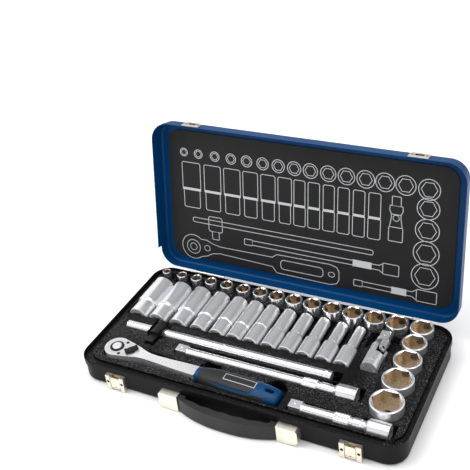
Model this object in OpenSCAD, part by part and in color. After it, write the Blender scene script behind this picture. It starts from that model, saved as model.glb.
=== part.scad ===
// Socket wrench set in a hinged steel case: short and deep sockets, ratchet,
// sliding T bar, two extension bars and a universal joint in a moulded tray.
// Millimetres. Origin at the bottom centre of the base, X to the right,
// Y to the hinge, Z up. The lid stands open.

/* [Case] */
// Width of the base over its side walls
base_w = 441; // [440:0.5:444]
// Depth of the base over its front and rear walls
base_d = 217.5; // [217:0.5:220]
// Radius of the base's upright corners
case_r = 24; // [20:1:30]
// Height of the base walls up to the step of the rim
wall_h = 24.5; // [24:0.5:25]
// Height of the rim band above the step
band_h = 7; // [6.5:0.5:7.5]
// How far the rim band stands out from the wall
step = 1.5; // [1.2:0.1:1.8]
// Thickness of the sheet steel
sheet = 0.9; // [0.7:0.1:0.9]
// Height of the closed case without the raised ribs
closed_h = 49; // [48.5:0.5:55]
// Angle that the lid stands open at
open_a = 100.4; // [90:0.1:104]

/* [Hinges and latches] */
// Distance of each hinge from the middle
hinge_x = 140; // [100:5:160]
// Width of a hinge
hinge_w = 46; // [40:1:60]
// Distance of each latch from the middle
latch_x = 161; // [150:1:168]
// Width of a latch plate
latch_w = 27; // [26:0.5:30]

/* [Handle] */
// Distance of each end cap's middle from the handle's middle
cap_x = 81; // [78:1:90]
// Offset of the handle's middle to the right
handle_x = 3; // [0:1:5]
// Height of the grip
grip_h = 21.5; // [18:0.5:22]
// How far the bow stands out past the base wall
grip_out = 21; // [19:1:24]

/* [Tray] */
// Height of the tray's top face
tray_z = 28.6; // [28:0.1:29]
// Gap round each tool in its pocket
gap = 0.6; // [0.4:0.1:0.8]
// Wall of the pockets
cup = 1.2; // [1:0.1:1.4]

/* [Sockets] */
// Length of the short sockets up to 24
short_h = 37.6; // [36:0.2:38]
// Length of the deep sockets
deep_h = 75.2; // [74:0.2:76]
// Square drive, across flats
drive = 12.7; // [12.7:0.1:12.7]
// Height of the lying sockets' axis
lie_z = 24.2; // [24:0.1:25]

/* [Bars] */
// Length of the sliding bar
tbar_l = 300; // [290:1:301]
// Diameter of the sliding bar
tbar_d = 13; // [12:0.5:13]

/* [Hidden] */
$fn = 48;
band_z = wall_h + band_h;
band_w = base_w + 2*step;
band_d = base_d + 2*step;
lidw = band_w + 0.6;
lidd = band_d + 0.6;
lipw = lidw + 2.4;
lipd = lidd + 2.4;
hy = band_d/2 + 2.25;
hz = band_z;
panel_t = 1.5;
fr = -base_d/2;            // front wall plane
floor_z = 1.7;             // top of the tray's pocket floors
sock_z = 1.9;              // bottom of the standing sockets

// size, x, hex end diameter: the rear row
ROW = [[8,-200,12.2],[10,-174,14.8],[11,-150,16],[12,-126,17.2],[13,-100.5,18.6],[14,-74,20],[15,-47.5,21.4],
       [16,-22.5,22.4],[17,3.5,23.8],[18,30.5,25],[19,59.5,26.4],[20,88.7,28],[21,119.2,28.8],[22,149.5,30.2]];
row_y = 90.4;
// size, x, y, diameter, length: the right column
COL = [[23,182.2,91.3,30.4,short_h],[24,181.9,60.3,31.4,short_h],[27,183.6,26.7,35.4,38.4],[30,183.7,-10.9,39.2,39.6],[32,183.6,-51.4,41.2,39.8]];
// size, x, hex end diameter, drive end diameter: the lying deep sockets
DEEP = [[24,-196.3,31.4,27.4],[22,-165,30,26],[21,-132.5,28.6,25.4],[19,-101.5,26.2,23.6],[17,-72.5,24,22.4],[16,-47,22.8,21.8],
        [15,-22,21,22],[14,3.5,19.8,22],[13,28.6,18.6,22],[12,54,17.2,22],[11,79.6,16,22],[10,105.2,14.6,22]];
deep_y = 0.5;

tb_x = -197.5; tb_y = -20.8; tb_z = 26.5; head_x = -148;
e2_x = -107; e2_y = -41; e2_z = 24.2;
e1_x = 74; e1_y = -84; e1_z = 26.2;
rh_x = -181.5; rh_y = -71.5; rh_a = -1.5;     // ratchet head centre and lie
uj_x = 141.2; uj_y = 2.5; uj_z = 28.8; uj_p = 40; // joint centre is uj_p along Y

// ---------- shared shapes ----------
module rr(w,d,r) {
  square([w-2*r,d],center=true);
  square([w,d-2*r],center=true);
  for(x=[-1,1],y=[-1,1]) translate([x*(w/2-r),y*(d/2-r)]) circle(r=r);
}
module at_lid() { translate([0,hy,hz]) rotate([-open_a,0,0]) translate([0,-hy,-hz]) children(); }
module along_x(l,r) { rotate([0,90,0]) cylinder(r=r,h=l,center=true); }
// a raised rib along a path of flat points
module rib(pts,w) for(i=[0:len(pts)-2]) {
  a=pts[i]; b=pts[i+1]; l=norm(b-a);
  translate(a) rotate(atan2(b[1]-a[1],b[0]-a[0])) translate([0,-w/2]) square([l,w]);
  translate(a) circle(r=w/2); translate(b) circle(r=w/2);
}

// ---------- case ----------
// sweeps a flat profile round a rounded rectangle; the profile's x runs
// outwards from the corner's centre and its y is the height
module swept(w,d,r) {
  for(s=[0,180]) rotate([0,0,s]) {
    translate([w/2-r,d/2-r,0]) rotate_extrude(angle=90) children();
    translate([-w/2+r,d/2-r,0]) rotate([0,0,90]) rotate_extrude(angle=90) children();
    translate([-w/2+r,d/2-r,0]) rotate([90,0,90]) linear_extrude(w-2*r) children();
    translate([w/2-r,d/2-r,0]) rotate([0,0,-90]) rotate([90,0,90]) linear_extrude(d-2*r) children();
  }
}
function arc(cx,cy,r,a0,a1,n) = [for(i=[0:n]) [cx+r*cos(a0+(a1-a0)*i/n),cy+r*sin(a0+(a1-a0)*i/n)]];
module base_shell() color([0.16,0.16,0.17]) difference() {
  union() {
    swept(base_w,base_d,case_r) polygon(concat([[0,0]],arc(case_r-4,4,4,-90,0,5),
      [[case_r,wall_h-sheet],[case_r+step,wall_h-sheet],[case_r+step,band_z],[case_r+step-sheet,band_z],[case_r+step-sheet,wall_h],[case_r-sheet,wall_h]],
      arc(case_r-4,4,4-sheet,0,-90,5),[[0,sheet]]));
    linear_extrude(sheet) square([base_w-2*case_r+0.02,base_d-2*case_r+0.02],center=true);
  }
  rivet_holes(1.5);
}
lr = case_r+step;
module lid_raw() {
  swept(lidw,lidd,lr) polygon(concat([[0,closed_h]],arc(lr-4.5,closed_h-4.5,4.5,90,0,5),
    [[lr,band_z+0.3],[lr-sheet,band_z+0.3]],arc(lr-4.5,closed_h-4.5,4.5-sheet,0,90,5),[[0,closed_h-sheet]]));
  translate([0,0,closed_h-sheet]) linear_extrude(sheet) square([lidw-2*lr+0.02,lidd-2*lr+0.02],center=true);
  // lip over the base's rim, on the front and the sides
  difference() {
    swept(lidw,lidd,lr) polygon([[lr-sheet,band_z+0.3],[lr-sheet,band_z+0.3+sheet],[lr+1.2,band_z+0.3+sheet],[lr+1.2,wall_h+0.5],[lr+1.2-sheet,wall_h+0.5],[lr+1.2-sheet,band_z+0.3]]);
    translate([-300,83,0]) cube([600,60,60]);
  }
  // raised pattern of the lid
  translate([0,0,closed_h-0.2]) linear_extrude(1) lid_ribs();
}
module lid_ribs() {
  difference() { rr(408,186,16); rr(402,180,13); }
  rib([[-150,78],[96,78],[140,52],[166,52]],5);
  rib([[-166,-34],[-104,-34],[-56,-60],[166,-60]],5);
  rib([[122,74],[168,74]],4);
  rib([[-168,-64],[-90,-64]],4);
  difference() { rr(150,46,6); rr(146,42,4); }
}
module lid_shell() color([0.0,0.36,0.65]) at_lid() lid_raw();
module lid_panel() color([0.11,0.11,0.12]) at_lid()
  translate([0,0,closed_h-sheet-panel_t]) linear_extrude(panel_t) rr(419,196,20);

// rivets: [x, y of the plate's face, z, direction] on the base
RIV = [for(s=[-1,1]) for(d=[-1,1]) [s*hinge_x+d*15,base_d/2+1,14,1],
       for(s=[-1,1]) for(d=[-1,1]) [s*latch_x+d*10.35,fr-1.2,13,-1],
       for(s=[-1,1]) for(d=[-1,1]) [handle_x+s*cap_x+d*6,fr-1,13,-1]];
module rivet_holes(r) for(q=RIV) translate([q[0],q[1],q[2]]) rotate([90,0,0]) cylinder(r=r,h=8,center=true);
module rivets() color([0.75,0.74,0.7]) for(q=RIV) translate([q[0],q[1],q[2]]) rotate([q[3]<0?90:-90,0,0]) {
  rotate_extrude() polygon([[0,-1-sheet-1.2],[2.4,-1-sheet-1.2],[2.4,-(q[3]<0&&abs(q[0])>120?1.2:1)-sheet],[1.46,-(q[3]<0&&abs(q[0])>120?1.2:1)-sheet],[1.46,0],[2,0],[1.8,0.6],[1.1,0.9],[0,0.95]]);
}

// ---------- hinges ----------
module knuckles(odd) for(s=[-1,1]) for(i=[0:4]) if((i%2==0)==odd)
  translate([s*hinge_x-hinge_w/2+(i+0.5)*hinge_w/5,hy,hz]) along_x(hinge_w/5-0.4,1.85);
module hinge_leaves_base() color([0.72,0.71,0.68]) difference() {
  union() {
    for(s=[-1,1]) translate([s*hinge_x-hinge_w/2,0,0]) rotate([90,0,90]) linear_extrude(hinge_w)
      polygon([[base_d/2,8],[base_d/2+1,8],[base_d/2+1,wall_h-2.5],[band_d/2+1,wall_h-1],[band_d/2+1,band_z],[band_d/2,band_z],[band_d/2,wall_h-sheet],[base_d/2,wall_h-sheet]]);
    knuckles(true);
  }
  for(s=[-1,1]) {
    translate([s*hinge_x,hy,hz]) along_x(hinge_w+2,1.05);
    for(i=[1,3]) translate([s*hinge_x-hinge_w/2+(i+0.5)*hinge_w/5,hy,hz]) translate([0,0,-1]) cube([hinge_w/5+0.1,8,3],center=true);
  }
  rivet_holes(1.5);
}
module hinge_leaves_lid() color([0.72,0.71,0.68]) at_lid() difference() {
  union() {
    for(s=[-1,1]) translate([s*hinge_x-hinge_w/2,lidd/2,band_z+0.5]) cube([hinge_w,1,13.5]);
    for(s=[-1,1]) for(i=[1,3]) translate([s*hinge_x-hinge_w/2+(i+0.5)*hinge_w/5,hy,hz]) along_x(hinge_w/5-0.4,1.85);
  }
  for(s=[-1,1]) {
    translate([s*hinge_x,hy,hz]) along_x(hinge_w+2,1.05);
    for(i=[0,2,4]) translate([s*hinge_x-hinge_w/2+(i+0.5)*hinge_w/5,hy-1,hz+1]) cube([hinge_w/5+0.1,6,3.2],center=true);
  }
}
// hinge pins and the latch levers' pins
p0y = fr-4.85; p0z = 19.4;   // lever's pivot
p1y = fr-3.85; p1z = 17.2;   // hook's pivot on the lever
module pivot_pins() color([0.8,0.79,0.76]) {
  for(s=[-1,1]) translate([s*hinge_x,hy,hz]) { along_x(hinge_w,1); for(e=[-1,1]) translate([e*(hinge_w/2+0.3),0,0]) along_x(0.6,1.7); }
  for(s=[-1,1]) for(d=[-1,1]) translate([s*latch_x+d*9.3,p0y,p0z]) along_x(7.8,0.85);
}

// ---------- latches ----------
module each_latch() for(s=[-1,1]) translate([s*latch_x,0,0]) children();
module latch_plates() color([0.86,0.81,0.72]) difference() {
  union() each_latch() {
    translate([-latch_w/2,fr-1.2,0.8]) cube([latch_w,1.2,22.6]);
    for(d=[-1,1]) translate([d*10.35-3.15,fr-6.2,0.8]) cube([6.3,5.2,22.2]);
  }
  each_latch() for(d=[-1,1]) {
    translate([d*10.35,p0y,p0z]) along_x(12,0.85);
    translate([d*10.35-2.15,fr-5.2,1.8]) cube([4.3,4,15.2]);
    translate([d*10.35,fr-3,13]) rotate([90,0,0]) cylinder(r=2.1,h=8);
  }
  rivet_holes(1.5);
}
module latch_catches() color([0.86,0.81,0.72]) at_lid() each_latch() difference() {
  union() {
    translate([-13,-lipd/2-1.6,0]) rotate([90,0,0]) translate([0,0,-1.2]) linear_extrude(1.2) polygon([[0,26.2],[26,26.2],[26,38],[23,41.2],[3,41.2],[0,38]]);
    translate([-10,-lipd/2-1,38.2]) cube([20,lipd/2+1-lidd/2,3]);
  }
  translate([-5.8,-lipd/2-3,31]) cube([11.6,6,6]);
  for(d=[-1,1]) translate([d*9.4-1.9,-lipd/2-3,32]) cube([3.8,6,3]);
}
module lever() difference() {
  union() {
    translate([-6.6,p0y-1.1,5.2]) cube([13.2,1,p0z-5.2+1]);
    translate([-6.6,p0y-2,4.4]) cube([13.2,1.9,1.3]);
    for(d=[-1,1]) translate([d*5.95-0.65,p0y-0.3,15.8]) cube([1.3,2.2,p0z-15.8+1.1]);
  }
  for(d=[-1,1]) { translate([d*6.5,p0y,p0z]) along_x(4,0.9); translate([d*6.5,p1y,p1z]) along_x(4,0.65); }
  translate([0,p0y-0.4,5.4]) rotate([90,0,0]) cylinder(r=1,h=3,center=true);
}
module latch_lever_left() color([0.9,0.85,0.77]) translate([-latch_x,0,0]) lever();
module latch_lever_right() color([0.9,0.85,0.77]) translate([latch_x,0,0]) lever();
// the hook, folded down behind its lever; turned over it reaches the catch
module hook() translate([0,p1y,p1z]) {
  along_x(9.2,0.88);
  along_x(12.4,0.6);
  translate([-4.6,0,0]) rotate([90,0,90]) linear_extrude(9.2)
    polygon([[-0.5,0],[0.5,0.4],[2.3,-3.2],[2.3,-16.2],[-0.6,-16.2],[-0.6,-15.4],[1.3,-14.4],[1.3,-3.4]]);
}
module latch_hook_left() color([0.9,0.85,0.77]) translate([-latch_x,0,0]) hook();
module latch_hook_right() color([0.9,0.85,0.77]) translate([latch_x,0,0]) hook();

// ---------- handle ----------
// half bow, drawn flat: outer and inner edges of the grip seen from above
gl = cap_x-14;   // grip's free half length
function bow(x,o) = fr-o*(1-pow(abs(x)/gl,2.4))-6.4;
module handle_grip() color([0.13,0.13,0.14]) translate([handle_x,0,2]) {
  linear_extrude(grip_h) difference() {
    union() {
      polygon(concat([for(i=[-20:20]) [i*gl/20,bow(i*gl/20,grip_out-8.4)-3.4]],[for(i=[20:-1:-20]) [i*gl/20,bow(i*gl/20,grip_out-13.4)+1.4+0.7*cos(i*54)*(abs(i)<17?1:0)]]));
      for(s=[-1,1]) translate([s*(gl+0.5)-9.5,fr-7]) square([19,4]);
    }
    for(s=[-1,1]) for(k=[0:2]) translate([s*(gl-4-3.2*k)-0.5,fr-10.6-0.1*k]) square([1,0.9]);
  }
}
module handle_caps() color([0.88,0.84,0.75]) difference() {
  for(s=[-1,1]) translate([handle_x+s*cap_x,0,0]) scale([s,1,1]) mirror([s<0?0:0,0,0]) difference() {
    rotate([90,0,0]) translate([0,0,-fr]) linear_extrude(11) polygon([[-13.5,1],[4,1.6],[11,3.2],[13.5,7],[13.5,22],[11.5,24.6],[-13.5,24.6]]);
    rotate([90,0,0]) translate([0,0,-fr+1]) linear_extrude(8.8) polygon([[-15,1.6],[-2,1.8],[4,2.4],[10.4,4.4],[12.3,7.4],[12.3,21.6],[10.9,23.6],[-15,23.6]]);
    translate([-20,fr-1.7,23.5]) cube([40,5,4]);
  }
  rivet_holes(1.5);
}

// ---------- tools ----------
// hex bar of width af across its flats
module hexbar(af,h) cylinder(r=af/2/cos(30),h=h,$fn=6);
// standing short socket, drive end down
module short_socket(af,od,h) {
  dd = max(22, od-(od>28?1.6:0));
  hb = od<22 ? 15 : h*0.42;
  difference() {
    rotate_extrude() polygon(od<22
      ? [[0,0],[dd/2-0.8,0],[dd/2,0.8],[dd/2,hb],[dd/2-0.6,hb+0.9],[od/2+0.4,hb+0.9+(dd-od)/2*0.9],[od/2,hb+1.8+(dd-od)/2*0.9],[od/2,h-0.9],[od/2-0.9,h],[0,h]]
      : [[0,0],[dd/2-0.8,0],[dd/2,0.8],[dd/2,hb],[od/2,hb+1],[od/2,h-1],[od/2-1,h],[0,h]]);
    translate([0,0,h-min(af*0.62+4,20)]) hexbar(af+0.2,30);
    translate([0,0,h-1.1]) cylinder(r1=af/2,r2=af/2/cos(30)+0.45,h=1.2);
    translate([0,0,12]) cylinder(r=min(af/2-0.9,5.4),h=h);
    translate([-drive/2-0.1,-drive/2-0.1,-1]) cube([drive+0.2,drive+0.2,14]);
  }
}
// deep socket along Y, drive end in front
module deep_socket(af,od,dd,h) rotate([-90,0,0]) {
  ys = od>22.5 ? h*0.33 : h*0.42;
  difference() {
    rotate_extrude() polygon(od>22.5
      ? [[0,0],[dd/2-0.8,0],[dd/2,0.8],[dd/2,ys],[od/2-0.2,ys+0.8],[od/2,ys+1.6],[od/2,h-1],[od/2-1,h],[0,h]]
      : [[0,0],[dd/2-0.8,0],[dd/2,0.8],[dd/2,ys],[dd/2-0.7,ys+1.4],[od/2+0.4,ys+1.4+(dd-od)/2*0.8],[od/2,ys+2.4+(dd-od)/2*0.8],[od/2,h-0.9],[od/2-0.9,h],[0,h]]);
    translate([0,0,h-26]) hexbar(af+0.2,40);
    translate([0,0,h-1.1]) cylinder(r1=af/2,r2=af/2/cos(30)+0.45,h=1.2);
    translate([0,0,12]) cylinder(r=min(af/2-0.6,5.6),h=h);
    translate([-drive/2-0.1,-drive/2-0.1,-1]) cube([drive+0.2,drive+0.2,16]);
  }
}
chrome = [0.82,0.83,0.85];
module row_socket(i) color(chrome) translate([ROW[i][1],row_y,sock_z]) short_socket(ROW[i][0],ROW[i][2],short_h);
module col_socket(i) color(chrome) translate([COL[i][1],COL[i][2],sock_z]) short_socket(COL[i][0],COL[i][3],COL[i][4]);
module lie_socket(i) color(chrome) translate([DEEP[i][1],deep_y,lie_z]) deep_socket(DEEP[i][0],DEEP[i][2],DEEP[i][3],deep_h);

// male square along +X with its detent ball on top
module tang(l) difference() {
  intersection() {
    translate([0,-drive/2,-drive/2]) cube([l,drive,drive]);
    rotate([0,90,0]) cylinder(r=drive/2*1.33,h=l);
  }
  translate([l*0.45,0,drive/2-1]) sphere(r=2.05);
}
module ball(l) translate([l*0.45,0,drive/2-1]) sphere(r=2);

module tbar_rod() color(chrome) translate([tb_x,tb_y,tb_z]) difference() {
  rotate([0,90,0]) rotate_extrude() polygon([[0,0],[tbar_d/2-0.8,0],[tbar_d/2,0.8],[tbar_d/2,tbar_l-0.8],[tbar_d/2-0.8,tbar_l],[0,tbar_l]]);
  for(x=[7,tbar_l-7,tbar_l/2]) translate([x,0,tbar_d/2+0.6]) sphere(r=2);
}
module tbar_head() color([0.12,0.12,0.12]) translate([head_x,tb_y,tb_z]) {
  difference() {
    union() {
      intersection() {
        translate([-11,-12.5,-11]) cube([22,25,22]);
        rotate([90,0,0]) cylinder(r=13.6,h=26,center=true);
        translate([-9.4,-30,-30]) rotate([0,0,0]) linear_extrude(60) polygon([[-1.6,18],[0,17.5],[1.2,42.5],[17.6,42.5],[18.8,17.5],[20.4,18],[20.4,20],[18,42.6],[0.8,42.6],[-1.6,20]]);
      }
      translate([0,-12.4,0]) rotate([0,0,-90]) tang(14);
      rotate([90,0,0]) translate([0,0,-12.4]) cylinder(r=10.9,h=24.8);
    }
    along_x(40,tbar_d/2+0.06);
  }
  translate([0,-12.4,0]) rotate([0,0,-90]) ball(14);
}
// extension bar along X: square end on the left, socket end on the right
module extension(l,k0,k1,s0) {
  difference() {
    union() {
      tang(15.5);
      rotate([0,90,0]) rotate_extrude() polygon([[0,14.5],[6.4,14.5],[7.1,15.2],[7.1,16.6],[6.4,17.6],[6.4,k0-0.6],[7.6,k0],[7.6,k1],[6.4,k1+0.6],[6.4,k1+3],[7.4,k1+4.4],[7.4,s0-9.5],[6.5,s0-7.5],[6.5,s0-4.5],[9.6,s0-1],[11,s0+0.6],[11,l-0.9],[10.1,l],[0,l]]);
    }
    translate([l-15,-drive/2-0.1,-drive/2-0.1]) cube([20,drive+0.2,drive+0.2]);
    translate([l-18,0,0]) rotate([0,90,0]) cylinder(r=4,h=10);
  }
  ball(15.5);
}
module extension_250() color(chrome) translate([e2_x,e2_y,e2_z]) extension(250,180,199,225);
module extension_125() color(chrome) translate([e1_x,e1_y,e1_z]) extension(125,57,76,99);

// ---------- ratchet ----------
module at_ratchet() translate([rh_x,rh_y,0]) rotate([0,0,rh_a]) children();
hb_z = 16.4; ht_z = 33.6;    // underside and top of the head
module head_flat(o) {
  circle(r=17+o);
  polygon([[6,15.9+o],[20,12.9+o],[30,10.4+o],[38,8+o],[44,6.9+o],[44,-6.9-o],[38,-8-o],[30,-10.4-o],[20,-12.9-o],[6,-15.9-o]]);
}
module ratchet_body() color(chrome) at_ratchet() difference() {
  union() {
    intersection() {
      translate([0,0,hb_z]) linear_extrude(ht_z-hb_z) union() { head_flat(0); polygon([[40,7],[50,6.3],[62,6.2],[80,7],[100,8],[122,8.6],[122,-8.6],[100,-8],[80,-7],[62,-6.2],[50,-6.3],[40,-7]]); }
      translate([0,30,0]) rotate([90,0,0]) linear_extrude(60) polygon([[-20,hb_z],[26,hb_z],[60,18],[124,18.6],[124,31.4],[80,30.9],[60,31],[50,31.5],[42,32.5],[34,ht_z],[-20,ht_z]]);
    }
    translate([150,0,25]) along_x(60,5.5);
  }
  translate([0,0,hb_z+2.4]) cylinder(r=13.4,h=30);          // gear chamber
  translate([0,0,hb_z-1]) cylinder(r=10.06,h=5);            // drive's lower journal
  translate([0,0,ht_z-3]) linear_extrude(5) head_flat_in();  // seat of the cover
  translate([23,0,hb_z+2.4]) cylinder(r=5.4,h=ht_z-hb_z-5.4+0.01); // pawl chamber
  translate([12,-3,hb_z+2.4]) cube([9,6,ht_z-hb_z-5.4+0.01]);
  for(p=RSC) translate([p[0],p[1],hb_z+5]) { cylinder(r=1.3,h=20); translate([0,0,ht_z-hb_z-6.8]) cylinder(r=2.3,h=6); }
}
RSC = [[9.5,11.2],[9.5,-11.2]];
module head_flat_in() { circle(r=15.4); polygon([[6,14.2],[29,7.8],[29,-7.8],[6,-14.2]]); }
module ratchet_cover() color([0.78,0.79,0.8]) at_ratchet() {
  difference() {
    translate([0,0,ht_z-2.98]) linear_extrude(2.98) intersection() { head_flat_in(); union() { circle(r=15.38); polygon([[5,13.9],[28.9,7.7],[28.9,-7.7],[5,-13.9]]); } }
    translate([0,0,0]) cylinder(r=9.66,h=60);
    translate([23,0,0]) cylinder(r=3.06,h=60);
    for(p=RSC) translate([p[0],p[1],0]) { cylinder(r=1.3,h=60); translate([0,0,ht_z-1.8]) cylinder(r=2.3,h=4); }
  }
  for(p=RSC) translate([p[0],p[1],0]) difference() {
    union() { translate([0,0,hb_z+5.2]) cylinder(r=1.25,h=ht_z-hb_z-7); translate([0,0,ht_z-1.75]) cylinder(r=2.2,h=1.3); }
    translate([0,0,ht_z-1.2]) cylinder(r=1.15,h=3,$fn=6);
  }
}
module ratchet_drive() color([0.2,0.2,0.2]) at_ratchet() difference() {
  union() {
    translate([0,0,hb_z+2.7]) linear_extrude(11.2) polygon([for(i=[0:71]) [(i%2==0?13.1:12.4)*cos(i*5),(i%2==0?13.1:12.4)*sin(i*5)]]);
    translate([0,0,hb_z]) cylinder(r=10,h=4);
    translate([0,0,hb_z+13]) cylinder(r=9.6,h=ht_z-hb_z-13+0.5);
    translate([0,0,hb_z+0.5]) rotate([0,90,0]) tang(14.6);
  }
  translate([0,0,hb_z+1.5]) cylinder(r=6.46,h=40);
}
module ratchet_button() color([0.85,0.85,0.86]) at_ratchet() translate([0,0,hb_z+4])
  rotate_extrude() polygon([[0,0],[6.4,0],[6.4,ht_z-hb_z-4+1.4],[5.6,ht_z-hb_z-4+2.1],[3,ht_z-hb_z-4+2.4],[0,ht_z-hb_z-4+2.5]]);
module ratchet_lever() color([0.1,0.1,0.1]) at_ratchet() translate([23,0,0]) rotate([0,0,51]) {
  translate([0,0,hb_z+3]) cylinder(r=3,h=ht_z-hb_z-2.6);
  translate([0,0,ht_z+0.3]) linear_extrude(2.2) union() { circle(r=4.8); polygon([[-9,2.6],[-8,3.6],[0,4.8],[8,3.6],[9,2.6],[9,-2.6],[8,-3.6],[0,-4.8],[-8,-3.6],[-9,-2.6]]); }
  for(s=[-1,1]) translate([s*7.4,0,ht_z+2.4]) intersection() { translate([-1.6,-3.2,0]) cube([3.2,6.4,1.6]); rotate([90,0,0]) cylinder(r=1.7,h=8,center=true); }
  // cam that works the pawls
  translate([0,0,hb_z+3.2]) linear_extrude(8) polygon([[-4.6,-1.6],[-3,-3],[3,-3],[4.6,-1.6],[4.6,1.6],[3,3],[-3,3],[-4.6,1.6]]);
}
module ratchet_grip() color([0.05,0.25,0.5]) at_ratchet() difference() {
  hull() {
    translate([123,0,25]) along_x(1,9.6);
    translate([135,0,25]) along_x(2,12.2);
    for(y=[-3.2,3.2]) translate([170,y,25]) along_x(30,12);
    for(y=[-3,3]) translate([222,y,24.4]) along_x(2,11.8);
    for(y=[-6,6]) translate([236,y,24]) along_x(6,7.4);
  }
  translate([120,0,25]) rotate([0,90,0]) cylinder(r=5.52,h=61);
  for(x=[-3.5,3.5]) translate([226+x,0,0]) cylinder(r=3,h=60);
  translate([226,0,25]) cube([7,6,60],center=true);
}

// ---------- universal joint, lying along Y, rolled 45 degrees ----------
module at_joint() translate([uj_x,uj_y+uj_p,uj_z]) rotate([0,45,0]) children();
// in these modules: socket end towards -Y, cross at the origin, square end towards +Y
module joint_socket_yoke() color(chrome) at_joint() difference() {
  union() {
    intersection() {
      rotate([90,0,0]) cylinder(r=11.2,h=uj_p-1);
      union() {
        translate([-12,-uj_p,-12]) cube([24,26.5,24]);
        for(s=[-1,1]) translate([s*8.3-1.9,-20,-5.8]) cube([3.8,20,11.6]);
      }
    }
    for(s=[-1,1]) translate([s*8.3,0,0]) intersection() { along_x(3.8,5.8); rotate([90,0,0]) translate([-s*8.3,0,0]) cylinder(r=11.2,h=30,center=true); }
  }
  along_x(40,2.06);
  translate([-drive/2-0.1,-uj_p-1,-drive/2-0.1]) cube([drive+0.2,14,drive+0.2]);
  for(y=[-31]) translate([0,y,0]) rotate([90,0,0]) difference() { cylinder(r=12.5,h=1,center=true); cylinder(r=10.8,h=1.2,center=true); }
}
module joint_cross() color([0.55,0.55,0.56]) at_joint() {
  translate([-4.6,-4.6,-4.6]) cube([9.2,9.2,9.2]);
  along_x(20,2);
  cylinder(r=2,h=17.4,center=true);
}
module joint_drive_yoke() color(chrome) at_joint() difference() {
  union() {
    intersection() {
      rotate([-90,0,0]) cylinder(r=8.9,h=17);
      union() {
        translate([-10,12,-10]) cube([20,5,20]);
        for(s=[-1,1]) translate([-5.2,0,s*7.45-1.35]) cube([10.4,16,2.7]);
      }
    }
    for(s=[-1,1]) translate([0,0,s*7.45]) intersection() { cylinder(r=5.2,h=2.7,center=true); translate([0,0,-s*7.45]) rotate([90,0,0]) cylinder(r=8.9,h=30,center=true); }
    translate([0,16.4,0]) rotate([0,-45,0]) rotate([0,0,90]) tang(14.6);
  }
  cylinder(r=2.06,h=40,center=true);
}

// ---------- tray ----------
// every pocket; o is the wall added outside it, so o=0 gives the hollows
module lay(x,y,z,l,r,o) translate([x-o,y,z]) { rotate([0,90,0]) cylinder(r=r+o,h=l+2*o); translate([0,-r-o,0]) cube([l+2*o,2*(r+o),40]); }
module laid(x,y,z,l,r,o) translate([x,y-o,z]) { rotate([-90,0,0]) cylinder(r=r+o,h=l+2*o); translate([-r-o,0,0]) cube([2*(r+o),l+2*o,40]); }
module pockets(o) {
  for(q=ROW) translate([q[1],row_y,floor_z-o*0.6]) cylinder(r=max(11,q[2]/2)+gap+o,h=60);
  for(q=COL) translate([q[1],q[2],floor_z-o*0.6]) cylinder(r=q[3]/2+gap+o,h=60);
  translate([-213.2-o,deep_y-1-o,21-o]) cube([329.7+2*o,deep_h+2+2*o,40]);
  for(q=DEEP) { r=max(q[2],q[3])/2; laid(q[1],deep_y-1,lie_z,deep_h+2,r+gap,o); }
  // sliding bar, its head and the finger hollow at its end
  lay(tb_x-1.5,tb_y,tb_z,tbar_l+3,tbar_d/2+gap,o);
  translate([tb_x+tbar_l-o,tb_y-8-o,13-o]) cube([13+2*o,16+2*o,40]);
  translate([head_x-12-o,tb_y-13.4-o,14.4-o]) cube([24+2*o,26.8+2*o,40]);
  translate([head_x-8-o,tb_y-28-o,18.6-o]) cube([16+2*o,20+2*o,40]);
  // extension bars
  lay(e2_x-2.5,e2_y,e2_z,254,8.3+gap,o);
  lay(e2_x+214,e2_y,e2_z,44,11+gap,o);
  lay(e1_x-2.5,e1_y,e1_z,130,8.3+gap,o);
  lay(e1_x+90,e1_y,e1_z,41,11+gap,o);
  // ratchet
  at_ratchet() {
    translate([0,0,hb_z-0.8-o]) linear_extrude(60) { circle(r=19+o); polygon([[6,18+o],[44,13+o],[124+o,11+o],[124+o,-11-o],[44,-13-o],[6,-18-o]]); }
    translate([0,0,floor_z-0.6*o]) cylinder(r=10.6+o,h=60);
    translate([120-o,-16.2-o,10.6-o]) cube([124+2*o,32.4+2*o,60]);
    for(p=[[136,13],[228,12]]) translate([p[0],p[1],14-o]) cylinder(r=14+o,h=60);
  }
  // universal joint
  laid(uj_x,uj_y-1.5,uj_z,50,11.2+gap,o);
  laid(uj_x,uj_y+30,uj_z,43,9.6+gap,o);
  translate([uj_x-20-o,uj_y+40-o,18-o]) cube([40+2*o,31+2*o,40]); // room to fold the joint
}
module tool_tray() color([0.14,0.14,0.15]) difference() {
  intersection() {
    union() {
      translate([0,5.2,tray_z-2]) linear_extrude(2) rr(428,204,20);
      translate([0,0,24]) linear_extrude(tray_z-24-1.2) intersection() { translate([0,5.2]) rr(428,204,20); rr(base_w-2*sheet-0.8,base_d-2*sheet-0.8,case_r-sheet-0.4); }
      translate([0,0,sheet]) linear_extrude(25-sheet) difference() { rr(base_w-2*sheet-10,base_d-2*sheet-10,case_r-5); rr(base_w-2*sheet-13,base_d-2*sheet-13,case_r-6.5); }
      translate([0,0,23.8]) linear_extrude(1.4) rr(base_w-2*sheet-0.8,base_d-2*sheet-0.8,case_r-sheet-0.4);
      pockets(cup);
    }
    union() {
      translate([0,0,4.2]) linear_extrude(tray_z-4.2) rr(base_w-2*sheet-0.8,base_d-2*sheet-0.8,case_r-sheet-0.4);
      translate([0,0,sheet]) linear_extrude(3.4) rr(base_w-8.6,base_d-8.6,case_r-4.3);
    }
  }
  pockets(0);
  for(q=RIV) translate([q[0],q[1],q[2]]) rotate([90,0,0]) cylinder(r=3.6,h=9.4,center=true); // clear of the rivets' inner ends
}

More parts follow.
